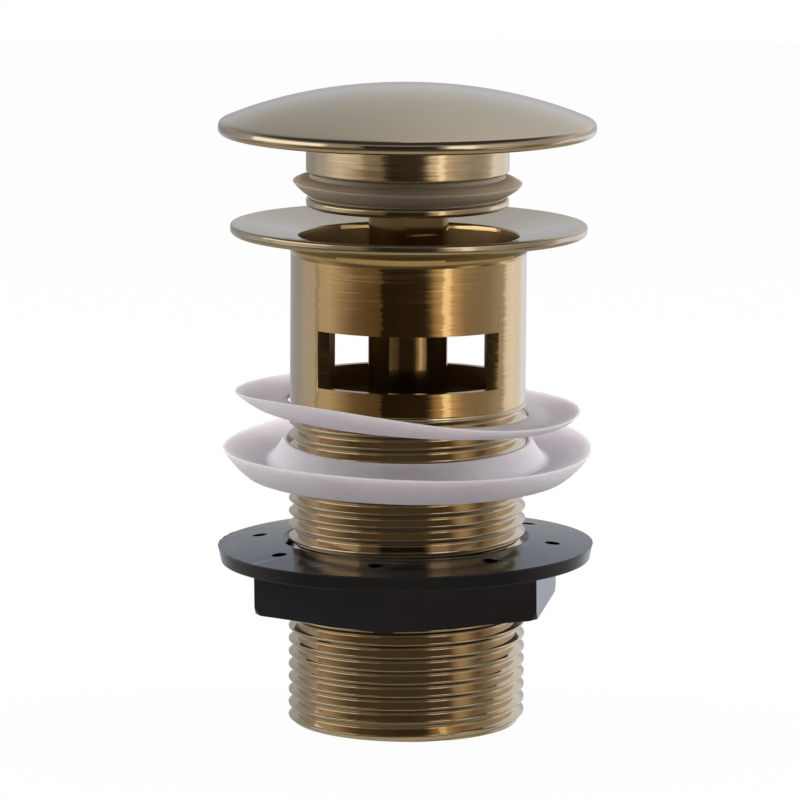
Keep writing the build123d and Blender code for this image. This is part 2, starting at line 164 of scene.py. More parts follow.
def bends(start, heading, turns, step=6):
    """Points along a line that leaves start at a heading and turns clockwise, (radius, degrees) at a time."""
    points = [start]
    for radius, degrees in turns:
        parts = math.ceil(degrees / step)
        half = math.radians(degrees / parts / 2)
        for _ in range(parts):
            heading -= half
            r, z = points[-1]
            chord = 2 * radius * math.sin(half)
            points.append((r + chord * math.cos(heading), z + chord * math.sin(heading)))
            heading -= half
    return points


def new_piece(name, mesh, body, nodes):
    """Makes the object, and says what it rides on and which nodes it stands for."""
    piece = bpy.data.objects.new(name, mesh)
    bpy.context.scene.collection.objects.link(piece)
    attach(piece, body)
    if nodes:
        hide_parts(*nodes)
    return piece


def loose_object(name, bm):
    """An object in the scene from a bmesh, such as a cutter or a piece of the studio."""
    mesh = bpy.data.meshes.new(name)
    bm.to_mesh(mesh)
    bm.free()
    thing = bpy.data.objects.new(name, mesh)
    bpy.context.scene.collection.objects.link(thing)
    return thing


def finish_mesh(bm, name, sharp=32):
    """Writes the bmesh out, smooth but for edges sharper than the angle in degrees."""
    bmesh.ops.remove_doubles(bm, verts=bm.verts, dist=1e-7)
    bmesh.ops.recalc_face_normals(bm, faces=bm.faces)
    mesh = bpy.data.meshes.new(name)
    bm.to_mesh(mesh)
    bm.free()
    mesh.shade_smooth()
    mesh.set_sharp_from_angle(angle=math.radians(sharp))
    return mesh


def lathe_into(bm, points, closed=True, segments=ROUND):
    """Revolves a section about the drain axis into a bmesh."""
    rings = []
    for r, z in points:
        if r < 1e-6:
            rings.append([bm.verts.new((0, 0, z * MM))])
            continue
        ring = []
        for s in range(segments):
            a = math.tau * s / segments
            ring.append(bm.verts.new((r * MM * math.cos(a), r * MM * math.sin(a), z * MM)))
        rings.append(ring)
    pairs = list(zip(rings, rings[1:]))
    if closed:
        pairs.append((rings[-1], rings[0]))
    for one, two in pairs:
        if len(one) == 1 and len(two) == 1:
            continue
        for s in range(segments):
            t = (s + 1) % segments
            if len(one) == 1:
                bm.faces.new((one[0], two[t], two[s]))
            elif len(two) == 1:
                bm.faces.new((one[s], one[t], two[0]))
            else:
                bm.faces.new((one[s], one[t], two[t], two[s]))
    return rings


def lathe(name, points, closed=True, segments=ROUND, sharp=32):
    """A mesh turned from one section."""
    bm = bmesh.new()
    lathe_into(bm, points, closed, segments)
    return finish_mesh(bm, name, sharp)


def front(degrees):
    """Unit vector at an angle from the front (-Y) towards +X."""
    a = math.radians(degrees)
    return Vector((math.sin(a), -math.cos(a), 0))


def round_axis(co):
    """Angle of a point about the drain axis, from the front (-Y) towards +X."""
    return math.atan2(co.x, -co.y)


def wave(angle, *pairs):
    """Cosine and sine waves round the axis: the first pair goes round once, the next twice."""
    return sum(c * math.cos(n * angle) + s * math.sin(n * angle) for n, (c, s) in enumerate(pairs, 1))


def ease(x):
    """Smooth step from 0 to 1."""
    x = min(max(x, 0.0), 1.0)
    return x * x * (3 - 2 * x)


def stand(mesh, height, tip=0.0, nod=0.0, shift=0.0, rise=0.0):
    """Tips a mesh towards +X and lifts its front about a height on the axis, then moves it."""
    middle = Matrix.Translation((0, 0, height * MM))
    turn = Matrix.Rotation(math.radians(-nod), 4, "X") @ Matrix.Rotation(math.radians(tip), 4, "Y")
    mesh.transform(Matrix.Translation((shift * MM, 0, rise * MM)) @ middle @ turn @ middle.inverted())


def dome_drop(r, dome_r):
    """How far a dome has fallen at a distance from its axis."""
    return dome_r - math.sqrt(dome_r * dome_r - r * r)


# Shapes


def cap_height(r):
    """Height of the cap's dome at a radius: one long arc that falls away a little faster at its rim."""
    return CAP_TOP - dome_drop(r, 96.6) - 0.534 * (r / 33) ** 4


def cap_mesh():
    """Mushroom cap: one long dome, a small nose, a rounded underside edge, a hollow underneath."""
    shell = 2.4
    land_r = 29.0
    hollow_r = 28.0
    boss_r = 9.0
    hole_r = 3.05
    hole_top = PLUG_TOP + 4.9
    shoulder_r = CAP_R - 0.75
    shoulder = (shoulder_r, cap_height(shoulder_r))
    foot = (CAP_R - 2.29, PLUG_TOP - 0.38)
    dome = [(0, CAP_TOP)]
    for k in range(1, 49):
        r = shoulder_r * k / 48
        dome.append((r, cap_height(r)))
    fall = math.atan2(cap_height(shoulder_r + 0.1) - shoulder[1], 0.1)
    rim = bends(shoulder, fall, ((1.2, 59), (2.6, 16), (1.0, 70)))
    under = [foot, (land_r, foot[1])]
    for k in range(13):
        r = hollow_r + (boss_r - hollow_r) * k / 12
        under.append((r, cap_height(r) - shell))
    boss = [(boss_r, PLUG_TOP), (hole_r, PLUG_TOP), (hole_r, hole_top), (0, hole_top)]
    mesh = lathe("domed_cap", dome + rim[1:] + under + boss, closed=False)
    stand(mesh, PLUG_TOP, nod=CAP_NOD, shift=CAP_SHIFT)
    return mesh


def plug_mesh():
    """Turned plug: upper ring with an eased lower corner, seal groove, thin lower ring."""
    groove = (PLUG_LOW + 1.5, PLUG_LOW + 6.0)
    section = eased(
        [
            (POST_R + 0.05, PLUG_LOW, 0.15),
            (17.85, PLUG_LOW, 0.55),
            (17.85, groove[0], 0.35),
            (14.0, groove[0]),
            (14.0, groove[1]),
            (17.9, groove[1], 0.5),
            (17.9, PLUG_TOP, 0.1),
            (3.05, PLUG_TOP),
            (3.05, POST_TOP),
            (POST_R + 0.05, POST_TOP),
        ]
    )
    mesh = lathe("turned_plug", section)
    mesh.transform(Matrix.Translation((PLUG_SHIFT * MM, 0, 0)))
    return mesh


def seal_mesh():
    """Lip seal: waist in the groove, a pointed lip flaring up and out, a bead at the foot."""
    foot = PLUG_LOW + 1.55
    top = PLUG_LOW + 5.95
    tip = PLUG_LOW + 4.25
    flare = arc((17.6, tip - 2.2), (19.2, tip - 1.12), (LIP_R - 0.03, tip - 0.12), 12)
    lip = [(LIP_R, tip), (LIP_R - 0.14, tip + 0.14)]
    slope = arc((LIP_R - 0.4, tip + 0.26), (19.0, tip + 0.68), (17.3, tip + 0.95), 10)
    groove_r = 14.05
    bead = [(17.15, top), (groove_r, top), (groove_r, foot)]
    bead += [(17.25, foot), (17.4, foot + 0.2), (17.36, foot + 0.35)]
    mesh = lathe("lip_seal", flare + lip + slope + bead)
    for vertex in mesh.vertices:
        out = ease((math.hypot(vertex.co.x, vertex.co.y) / MM - 17.4) / (LIP_R - 17.4))
        vertex.co.z -= out * 0.22 * math.sin(round_axis(vertex.co)) * MM
    mesh.transform(Matrix.Translation((PLUG_SHIFT * MM, 0, 0)))
    return mesh


def boolean(piece, cutter, operation="DIFFERENCE"):
    """Applies a boolean and deletes the cutter."""
    change = piece.modifiers.new("cut", "BOOLEAN")
    change.operation = operation
    change.solver = "EXACT"
    change.object = cutter
    graph = bpy.context.evaluated_depsgraph_get()
    mesh = bpy.data.meshes.new_from_object(piece.evaluated_get(graph))
    piece.modifiers.clear()
    old = piece.data
    piece.data = mesh
    mesh.name = old.name
    bpy.data.meshes.remove(old)
    bpy.data.objects.remove(cutter)


def box_cutter(low_corner, high_corner, turn=0.0):
    """A box between two corners in millimetres, turned about the drain axis."""
    bm = bmesh.new()
    bmesh.ops.create_cube(bm, size=1.0)
    size = [(b - a) * MM for a, b in zip(low_corner, high_corner)]
    middle = [(a + b) / 2 * MM for a, b in zip(low_corner, high_corner)]
    place = Matrix.Rotation(math.radians(turn), 4, "Z") @ Matrix.Translation(middle)
    bmesh.ops.transform(bm, matrix=place @ Matrix.Diagonal((*size, 1)), verts=bm.verts)
    return loose_object("cutter", bm)


def soften(piece, near, width, segments=2, sharp=32, least=25):
    """Bevels the sharp edges whose ends both satisfy a test, so that they catch the light."""
    bm = bmesh.new()
    bm.from_mesh(piece.data)
    bmesh.ops.remove_doubles(bm, verts=bm.verts, dist=2e-7)
    edges = [
        e
        for e in bm.edges
        if len(e.link_faces) == 2
        and e.calc_face_angle(0) > math.radians(least)
        and near(e.verts[0].co / MM)
        and near(e.verts[1].co / MM)
    ]
    bmesh.ops.bevel(
        bm, geom=edges, offset=width * MM, segments=segments, profile=0.5, affect="EDGES", clamp_overlap=True
    )
    bm.to_mesh(piece.data)
    bm.free()
    piece.data.shade_smooth()
    piece.data.set_sharp_from_angle(angle=math.radians(sharp))


def flange_height(r):
    """Height of the dished flange's top at a radius."""
    return FLANGE_TOP - FLANGE_DISH * (FLANGE_R - r) / (FLANGE_R - MOUTH_R)


def barrel_piece():
    """Flange and barrel with the two overflow slots milled through, the back one a little short."""
    rim_r = FLANGE_R - 0.05
    under_r = BARREL_R + FLANGE_FILLET
    under = flange_height(under_r) - FLANGE_THICK
    fillet = arc(
        (BARREL_R, under - FLANGE_FILLET),
        (BARREL_R + FLANGE_FILLET * (1 - math.sqrt(0.5)), under - FLANGE_FILLET * (1 - math.sqrt(0.5))),
        (under_r, under),
        10,
    )
    land = (FLANGE_R - 3, flange_height(FLANGE_R - 3))
    edge_corners = [
        (under_r, under),
        (rim_r, FLANGE_TOP - FLANGE_RIM_THICK, 0.88),
        (rim_r, FLANGE_TOP, 0.45),
        land,
    ]
    edge = eased(edge_corners, False, 10)
    mouth_z = flange_height(MOUTH_R)
    mouth = eased([land, (MOUTH_R, mouth_z, 0.35), (BARREL_BORE_R, mouth_z - 1.0)], False)
    low_end = THREAD_TOP - 0.4
    foot = eased([(BARREL_BORE_R, low_end), (BARREL_R, low_end, 0.3), (BARREL_R, THREAD_TOP + 2)], False)
    fillet_foot = (BARREL_R, under - FLANGE_FILLET - 0.05)
    outside = foot[1:] + [fillet_foot] + fillet + edge[1:]
    mesh = lathe("barrel_and_flange", outside + mouth[1:] + [foot[0]])
    piece = new_piece("barrel_and_flange", mesh, "waste", ["waste_body"])
    far = 2 * BARREL_R
    slot_top = SLOT_LOW + SLOT_HEIGHT
    back_low = SLOT_LOW - 0.3
    back_left = -13.05
    boolean(piece, box_cutter((-far, -far, SLOT_LOW), (far, -SLOT_FACE, slot_top)))
    boolean(piece, box_cutter((back_left, SLOT_FACE, back_low), (far, far, slot_top)))

    def on_slot(p):
        return abs(p.y) > SLOT_FACE - 0.01 and back_low - 0.01 < p.z < slot_top + 0.01

    soften(piece, on_slot, 0.14, sharp=20)
    stand(piece.data, THREAD_TOP, BARREL_LEAN, BARREL_NOD)
    return piece


def thread_section():
    """One pitch of the cut thread, as (radius, rise): two flanks between a narrow crest and narrow roots."""
    root_r = THREAD_R - THREAD_DEPTH
    half = THREAD_PITCH / 2
    root_foot = half - 0.11
    crest = 0.14
    corners = [
        (root_r, -half),
        (root_r, -root_foot, 0.12),
        (THREAD_R, -crest, 0.14),
        (THREAD_R, crest, 0.14),
        (root_r, root_foot, 0.12),
        (root_r, half),
    ]
    return eased(corners, False, 3, close=0.02)[:-1]


def stitch(bm, outer, inner):
    """Closes the flat ring between two loops about the drain axis with triangles, going round by angle."""
    loops = []
    for loop in (outer, inner):
        turns = sorted((math.atan2(v.co.y, v.co.x) % math.tau, n, v) for n, v in enumerate(loop))
        first = turns[0]
        loops.append([(angle, v) for angle, _, v in turns] + [(first[0] + math.tau, first[2])])
    out, into = loops
    i = j = 0
    while i < len(out) - 1 or j < len(into) - 1:
        last_in = j == len(into) - 1
        step_out = i < len(out) - 1 and (last_in or out[i + 1][0] <= into[j + 1][0])
        ahead = out[i + 1][1] if step_out else into[j + 1][1]
        bm.faces.new((out[i][1], ahead, into[j][1]))
        if step_out:
            i += 1
        else:
            j += 1


def tail_piece():
    """Threaded tail: a right-hand helical skin cut square at both ends, closed by its bore."""
    section = thread_section()
    columns = 240
    turns = math.ceil(THREAD_TOP / THREAD_PITCH) + 3
    start = THREAD_START - THREAD_PITCH * 2
    bm = bmesh.new()
    columns_of_verts = []
    for c in range(columns):
        a = math.tau * c / columns
        column = []
        for t in range(turns + 1):
            for r, rise in section:
                z = start + t * THREAD_PITCH + rise + THREAD_PITCH * c / columns
                fade = ease((THREAD_TOP + 0.3 - z) / THREAD_RUN_OUT)
                r = THREAD_R - (THREAD_R - r) * fade
                r = min(r, THREAD_R - TAIL_CHAMFER + max(z, -1.0))
                z -= r * math.sin(a) * math.sin(math.radians(BARREL_NOD)) * ease((z - 1) / 4)
                column.append(bm.verts.new((r * MM * math.cos(a), r * MM * math.sin(a), z * MM)))
        columns_of_verts.append(column)
    shift = len(section)
    for c in range(columns):
        here = columns_of_verts[c]
        last = c == columns - 1
        there = columns_of_verts[0] if last else columns_of_verts[c + 1]
        offset = shift if last else 0
        for k in range(len(here) - 1 - shift):
            bm.faces.new((here[k], there[k + offset], there[k + 1 + offset], here[k + 1]))
    for height, side in ((0.0, -1), (THREAD_TOP, 1)):
        geometry = bm.verts[:] + bm.edges[:] + bm.faces[:]
        cut = {"plane_co": (0, 0, height * MM), "plane_no": (0, 0, side)}
        bmesh.ops.bisect_plane(bm, geom=geometry, dist=1e-8, clear_outer=True, **cut)
    loose = [v for v in bm.verts if not v.link_faces]
    bmesh.ops.delete(bm, geom=loose, context="VERTS")
    open_ends = {}
    for height in (0.0, THREAD_TOP):
        open_ends[height] = [
            e
            for e in bm.edges
            if len(e.link_faces) == 1 and all(abs(v.co.z - height * MM) < 1e-7 for v in e.verts)
        ]
    step = BARREL_BORE_R - TAIL_BORE_R
    bore = [
        (TAIL_BORE_R + 0.4, 0.0),
        (TAIL_BORE_R, 0.4),
        (TAIL_BORE_R, BORE_STEP),
        (BARREL_BORE_R, BORE_STEP + step),
        (BARREL_BORE_R, THREAD_TOP),
    ]
    rings = lathe_into(bm, bore, closed=False, segments=columns)
    for ring, height in ((rings[0], 0.0), (rings[-1], THREAD_TOP)):
        outer = dict.fromkeys(v for e in open_ends[height] for v in e.verts)
        stitch(bm, outer, ring)
    mesh = finish_mesh(bm, "threaded_tail", 50)
    return new_piece("threaded_tail", mesh, "waste", ["waste_body"])


def spider_piece():
    """Cast cross inside the tail: a turned hub on four arms."""
    hub_r = 7.4
    hub_h = 7.0
    arm_w = 4.4
    arm_h = 5.2
    hole_r = 2.55
    bm = bmesh.new()
    hub = eased(
        [
            (hole_r, SPIDER_TOP - hub_h, 0.2),
            (hub_r, SPIDER_TOP - hub_h, 0.6),
            (hub_r, SPIDER_TOP, 0.6),
            (hole_r, SPIDER_TOP, 0.2),
        ]
    )
    lathe_into(bm, hub, segments=96)
    mesh = finish_mesh(bm, "spider_cross")
    piece = new_piece("spider_cross", mesh, "waste", ["waste_body"])
    top = SPIDER_TOP - 1.0
    low_corner = (hub_r - 1.2, -arm_w / 2, top - arm_h)
    high_corner = (TAIL_BORE_R + 0.2, arm_w / 2, top)
    for turn in (45, 135, 225, 315):
        boolean(piece, box_cutter(low_corner, high_corner, turn), "UNION")

    def on_arm(p):
        return math.hypot(p.x, p.y) > hub_r - 0.5

    soften(piece, on_arm, 0.5, 3, least=40)
    return piece


def post_piece():
    """Post under the plug: a turned tube with two spanner flats."""
    bore_r = 6.0
    upper_bore_r = 5.3
    flats_low = PLUG_LOW - 4.5
    section = eased(
        [
            (bore_r, POST_LOW, 0.1),
            (POST_R, POST_LOW, 0.25),
            (POST_R, POST_TOP),
            (3.05, POST_TOP),
            (3.05, POST_TOP - 4),
            (upper_bore_r, POST_TOP - 4),
            (upper_bore_r, CORE_TOP),
            (bore_r, CORE_TOP),
        ]
    )
    mesh = lathe("plug_post", section, segments=160)
    piece = new_piece("plug_post", mesh, "plug", ["latch_sleeve"])
    for turn in (27, 207):
        boolean(piece, box_cutter((6.0, -8, flats_low), (9, 8, PLUG_LOW - 0.02), turn - 90))

    def on_flat(p):
        return flats_low - 0.01 < p.z < PLUG_LOW

    soften(piece, on_flat, 0.12, segments=1, sharp=5, least=15)
    return piece


def dished_washer_piece():
    """Thin washer like a saucer: it sits askew on the thread, and its curled rim is out of true."""
    bore_r = 21.35
    floor_r = 25.0
    foot_r = 27.8
    rim_r = 30.58
    foot_z = 55.53
    floor = 0.9
    lip = 0.12
    outside = [(bore_r, 0.0)] + [(bore_r + (foot_r - bore_r) * k / 4, 0.0) for k in range(1, 4)]
    outside += arc((foot_r, 0.0), (foot_r + 1.55, 0.42), (rim_r, 1.0), 8)
    inside = [(rim_r - 0.1, 1.02), (rim_r - 0.32, 1.0)]
    inside += arc((rim_r - 0.5, 0.97), (foot_r + 0.3, 0.5), (floor_r, 0.0), 8)
    top = inside + [(floor_r - 1.8, 0.0), (bore_r, 0.0)]
    bm = bmesh.new()
    rings = lathe_into(bm, outside + top)
    for k, ring in enumerate(rings):
        upper = k >= len(outside)
        share = (outside + top)[k][1]
        for vertex in ring:
            angle = round_axis(vertex.co)
            out = math.hypot(vertex.co.x, vertex.co.y) / MM
            curl = 1.97 + wave(angle, (0.82, -0.05), (0.18, -0.45), (0.03, -0.44))
            askew = out / foot_r * wave(angle, (-0.10, -1.86))
            rise = floor + (curl + lip - floor) * share if upper else curl * share
            vertex.co.z = (foot_z + askew + rise) * MM
    mesh = finish_mesh(bm, "dished_washer", 40)
    return new_piece("dished_washer", mesh, "upper_washer", ["upper_washer"])


def hub_washer_piece():
    """Thick washer: dish, conical hub and a bulged outside, its front sagging and its rim out of true."""
    bore_r = 21.35
    foot_z = 44.95
    rim_z = 49.69
    hub_z = 50.6
    valley = (24.5, 46.6)
    rim_r = HUB_WASHER_R
    bulge = arc((28.8, foot_z), (30.95, foot_z + 2.2), (rim_r, rim_z - 0.12), 14)
    top_corners = [(rim_r - 0.22, rim_z + 0.05), (*valley, 1.2), (21.9, hub_z, 0.2), (bore_r, hub_z, 0.15)]
    top = eased(top_corners, False, 6)
    section = bulge + [(rim_r - 0.06, rim_z + 0.02)] + top + [(bore_r, foot_z + 0.4), (bore_r + 0.4, foot_z)]
    bm = bmesh.new()
    lathe_into(bm, section)
    for vertex in bm.verts:
        angle = round_axis(vertex.co)
        out = math.hypot(vertex.co.x, vertex.co.y) / MM
        sag = out / rim_r * wave(angle, (-1.397, 0.044))
        warp = ease((out - 26) / (rim_r - 26)) * wave(angle, (0, 0), (0.588, -0.491), (-0.083, -0.022))
        vertex.co.z += (sag + warp) * MM
    mesh = finish_mesh(bm, "hub_washer", 40)
    return new_piece("hub_washer", mesh, "lower_washer", ["lower_washer"])


def nut_piece():
    """Moulded back nut: hexagon with cut corners under a drilled round flange, whose top rises inwards."""
    corner_r = 28.88
    hex_turn = -8.2
    hex_shift = 0.16
    flange = 2.6
    slope = 0.105
    hex_top = NUT_TOP - flange
    bore_r = 21.06
    mouth_r = 22.0
    crown = NUT_TOP + slope * (NUT_R - mouth_r)
    hole_count = 8
    hole_turn = -11.4
    hole_ring_r = 26.5
    hole_r = 1.36
    hole_depth = 4.6
    section = eased(
        [
            (bore_r + hex_shift, NUT_LOW, 0.2),
            (corner_r - 0.6, NUT_LOW, 0.2),
            (corner_r, NUT_LOW + 1.4, 0.2),
            (corner_r, hex_top + 0.4),
            (bore_r + hex_shift, hex_top + 0.4),
        ]
    )
    mesh = lathe("nut_moulding", section)
    piece = new_piece("nut_moulding", mesh, "back_nut", ["back_nut"])
    bm = bmesh.new()
    rings = []
    for z in (NUT_LOW - 2, hex_top + 2):
        corners = [front(hex_turn + 60 * k) * corner_r * MM for k in range(6)]
        rings.append([bm.verts.new((c.x, c.y, z * MM)) for c in corners])
    bm.faces.new(rings[0])
    bm.faces.new(rings[1])
    for k in range(6):
        bm.faces.new((rings[0][k], rings[0][(k + 1) % 6], rings[1][(k + 1) % 6], rings[1][k]))
    bmesh.ops.recalc_face_normals(bm, faces=bm.faces)
    boolean(piece, loose_object("hexagon", bm), "INTERSECT")
    piece.data.transform(Matrix.Translation((hex_shift * MM, 0, 0)))
    disc = eased(
        [
            (bore_r, hex_top),
            (NUT_R - 0.6, hex_top, 0.2),
            (NUT_R - 0.15, NUT_TOP - 0.3, 0.1),
            (NUT_R, NUT_TOP, 0.03),
            (mouth_r, crown, 0.15),
            (bore_r, crown - 0.9),
        ]
    )
    disc_object = bpy.data.objects.new("disc", lathe("disc", disc))
    bpy.context.scene.collection.objects.link(disc_object)
    for vertex in disc_object.data.vertices:
        angle = math.degrees(round_axis(vertex.co))
        on_rim = math.hypot(vertex.co.x, vertex.co.y) / MM > NUT_R - 0.05 and vertex.co.z / MM > NUT_TOP - 0.1
        flash = ease((angle + 118) / 12) * ease((-52 - angle) / 12) if on_rim else 0.0
        vertex.co.z += flash * (0.09 + 0.05 * math.sin(angle * 0.9) + 0.05 * math.sin(angle * 2.3)) * MM
    boolean(piece, disc_object, "UNION")
    for n in range(hole_count):
        place = front(hole_turn + 360 / hole_count * n) * hole_ring_r * MM
        bm = bmesh.new()
        bmesh.ops.create_cone(
            bm, cap_ends=True, segments=32, radius1=hole_r * MM, radius2=hole_r * MM, depth=hole_depth * MM,
            matrix=Matrix.Translation((place.x, place.y, (NUT_TOP + 0.5) * MM)),
        )
        boolean(piece, loose_object("drill", bm))

    def on_hex(p):
        return p.z < hex_top - 0.05

    soften(piece, on_hex, 0.3, segments=1, sharp=20, least=40)
    stand(piece.data, (NUT_LOW + NUT_TOP) / 2, NUT_LEAN, NUT_NOD, NUT_SHIFT, -NUT_SINK)
    return piece


# Materials


def socket_group(name, inputs, outputs):
    """An empty shader group with named sockets."""
    group = bpy.data.node_groups.new(name, "ShaderNodeTree")
    for label, kind, value in inputs:
        s = group.interface.new_socket(label, in_out="INPUT", socket_type=kind)
        s.default_value = value
    for label, kind in outputs:
        group.interface.new_socket(label, in_out="OUTPUT", socket_type=kind)
    return group


def fill(tree, socket, value):
    """Gives a socket a plain value, or a link from another socket."""
    if isinstance(value, bpy.types.NodeSocket):
        tree.links.new(value, socket)
    else:
        socket.default_value = value


def worked(tree, kind, operation, *values, **named):
    """The result of a maths node, whose sockets are filled in order or by name."""
    node = tree.nodes.new("ShaderNode" + kind)
    node.operation = operation
    for socket, value in zip(node.inputs, values):
        fill(tree, socket, value)
    for label, value in named.items():
        fill(tree, node.inputs[label], value)
    return node.outputs[0]


def carried(tree, value, from_low, from_high, to_low=0.0, to_high=1.0):
    """A value carried from one range into another."""
    node = tree.nodes.new("ShaderNodeMapRange")
    labels = ("Value", "From Min", "From Max", "To Min", "To Max")
    for label, given in zip(labels, (value, from_low, from_high, to_low, to_high)):
        fill(tree, node.inputs[label], given)
    return node.outputs["Result"]


def noise(tree, place, scale, detail, roughness=0.5):
    """A noise texture at a place; scale can be a number or a socket."""
    node = tree.nodes.new("ShaderNodeTexNoise")
    labels = ("Vector", "Scale", "Detail", "Roughness")
    for label, given in zip(labels, (place, scale, detail, roughness)):
        fill(tree, node.inputs[label], given)
    return node


def group_ends(group):
    """The input and output of a group, and the place on the object that its textures follow."""
    entry = group.nodes.new("NodeGroupInput")
    leave = group.nodes.new("NodeGroupOutput")
    place = group.nodes.new("ShaderNodeTexCoord")
    return entry.outputs, leave.inputs, place.outputs["Object"]


def turning_group():
    """What turning leaves: line by line, the surface swings a little round the axis and up."""
    group = socket_group(
        "turning marks",
        [
            ("Round", "NodeSocketFloat", 0.1),
            ("Up", "NodeSocketFloat", 0.03),
            ("Tight", "NodeSocketFloat", 3000.0),
            ("Long", "NodeSocketFloat", 120.0),
        ],
        [("Normal", "NodeSocketVector"), ("Mask", "NodeSocketFloat")],
    )
    entry, leave, place = group_ends(group)
    normal = group.nodes.new("ShaderNodeNewGeometry").outputs["Normal"]
    scale = group.nodes.new("ShaderNodeCombineXYZ")
    for axis, label in (("X", "Long"), ("Y", "Long"), ("Z", "Tight")):
        fill(group, scale.inputs[axis], entry[label])
    lines = worked(group, "VectorMath", "MULTIPLY", place, scale.outputs["Vector"])
    split = group.nodes.new("ShaderNodeSeparateColor")
    fill(group, split.inputs["Color"], noise(group, lines, 1.0, 3.0, 0.6).outputs["Color"])
    swings = []
    for channel, label in (("Red", "Round"), ("Green", "Up")):
        centred = worked(group, "Math", "SUBTRACT", split.outputs[channel], 0.5)
        swings.append(worked(group, "Math", "MULTIPLY", centred, entry[label]))
    round_way = worked(group, "VectorMath", "CROSS_PRODUCT", (0, 0, 1), normal)
    unit = worked(group, "VectorMath", "NORMALIZE", round_way)
    sideways = worked(group, "VectorMath", "SCALE", unit, Scale=swings[0])
    upwards = group.nodes.new("ShaderNodeCombineXYZ")
    fill(group, upwards.inputs["Z"], swings[1])
    swung = worked(group, "VectorMath", "ADD", normal, sideways)
    swung = worked(group, "VectorMath", "ADD", swung, upwards.outputs["Vector"])
    fill(group, leave["Normal"], worked(group, "VectorMath", "NORMALIZE", swung))
    fill(group, leave["Mask"], noise(group, place, 90.0, 2.0).outputs["Fac"])
    return group


def blotch_group():
    """Soft blotches of two sizes, for colour and gloss that drift over a surface."""
    group = socket_group(
        "soft blotches",
        [
            ("Large", "NodeSocketFloat", 60.0),
            ("Small", "NodeSocketFloat", 900.0),
            ("Share", "NodeSocketFloat", 0.35),
        ],
        [("Value", "NodeSocketFloat")],
    )
    entry, leave, place = group_ends(group)
    blend = group.nodes.new("ShaderNodeMix")
    blend.data_type = "FLOAT"
    fill(group, blend.inputs["Factor"], entry["Share"])
    for label, side in (("Large", "A"), ("Small", "B")):
        fill(group, blend.inputs[side], noise(group, place, entry[label], 4.0).outputs["Fac"])
    fill(group, leave["Value"], blend.outputs["Result"])
    return group


def scuff_group():
    """Fine scratches in two directions on level faces, where something has rubbed them."""
    group = socket_group("scuffs", [("Rubbed", "NodeSocketFloat", 0.5)], [("Value", "NodeSocketFloat")])
    entry, leave, place = group_ends(group)
    strokes = []
    for turn, along, tight in ((35, 120, 5200), (-20, 160, 4200)):
        swing = group.nodes.new("ShaderNodeMapping")
        fill(group, swing.inputs["Vector"], place)
        swing.inputs["Rotation"].default_value = (0, 0, math.radians(turn))
        swing.inputs["Scale"].default_value = (along, tight, 900)
        lines = noise(group, swing.outputs["Vector"], 1.0, 2.0)
        strokes.append(carried(group, lines.outputs["Fac"], 0.56, 0.72))
    both = worked(group, "Math", "MAXIMUM", *strokes)
    patches = noise(group, place, 130.0, 3.0).outputs["Fac"]
    where = carried(group, patches, entry["Rubbed"], 0.75)
    up = group.nodes.new("ShaderNodeSeparateXYZ")
    fill(group, up.inputs["Vector"], group.nodes.new("ShaderNodeNewGeometry").outputs["Normal"])
    level_part = carried(group, up.outputs["Z"], 0.6, 0.9)
    value = worked(group, "Math", "MULTIPLY", both, where)
    fill(group, leave["Value"], worked(group, "Math", "MULTIPLY", value, level_part))
    return group


TURNING = turning_group()
BLOTCHES = blotch_group()
SCUFFS = scuff_group()


class Maker:
    """A material with its principled shader, and short ways to add nodes to it."""

    def __init__(self, name):
        self.material = bpy.data.materials.new(name)
        self.material.use_nodes = True
        self.tree = self.material.node_tree
        self.inputs = self.tree.nodes["Principled BSDF"].inputs

    def set(self, **values):
        for label, value in values.items():
            self.inputs[label.replace("_", " ")].default_value = value

    def group(self, group, **values):
        node = self.tree.nodes.new("ShaderNodeGroup")
        node.node_tree = group
        for label, value in values.items():
            node.inputs[label].default_value = value
        return node

    def colours(self, source, low_value, dark, high_value, light):
        """Base colour from a value: dark up to the low value, light from the high one."""
        node = self.tree.nodes.new("ShaderNodeValToRGB")
        stops = ((low_value, dark), (high_value, light))
        for element, (position, colour) in zip(node.color_ramp.elements, stops):
            element.position = position
            element.color = (*colour, 1)
        fill(self.tree, node.inputs["Fac"], source)
        fill(self.tree, self.inputs["Base Color"], node.outputs["Color"])

    def roughness(self, source, low_value, high_value):
        """Roughness between two values, as the source goes from 0.3 to 0.7."""
        fill(self.tree, self.inputs["Roughness"], carried(self.tree, source, 0.3, 0.7, low_value, high_value))

    def bump(self, source, strength, distance):
        node = self.tree.nodes.new("ShaderNodeBump")
        node.inputs["Strength"].default_value = strength
        node.inputs["Distance"].default_value = distance
        fill(self.tree, node.inputs["Height"], source)
        fill(self.tree, self.inputs["Normal"], node.outputs["Normal"])


def brass_material(name, dark, light, rough, swing=None, tight=3000.0, along=120.0):
    """Gold coated brass: colour and gloss drift a little, and turning has left its lines."""
    m = Maker(name)
    m.set(Metallic=1.0)
    blotches = m.group(BLOTCHES, Large=45.0, Small=700.0)
    m.colours(blotches.outputs["Value"], 0.35, dark, 0.65, light)
    turning = m.group(TURNING, Tight=tight, Long=along)
    m.roughness(turning.outputs["Mask"], *rough)
    if swing:
        turning.inputs["Round"].default_value = swing[0]
        turning.inputs["Up"].default_value = swing[1]
        fill(m.tree, m.inputs["Normal"], turning.outputs["Normal"])
    return m.material


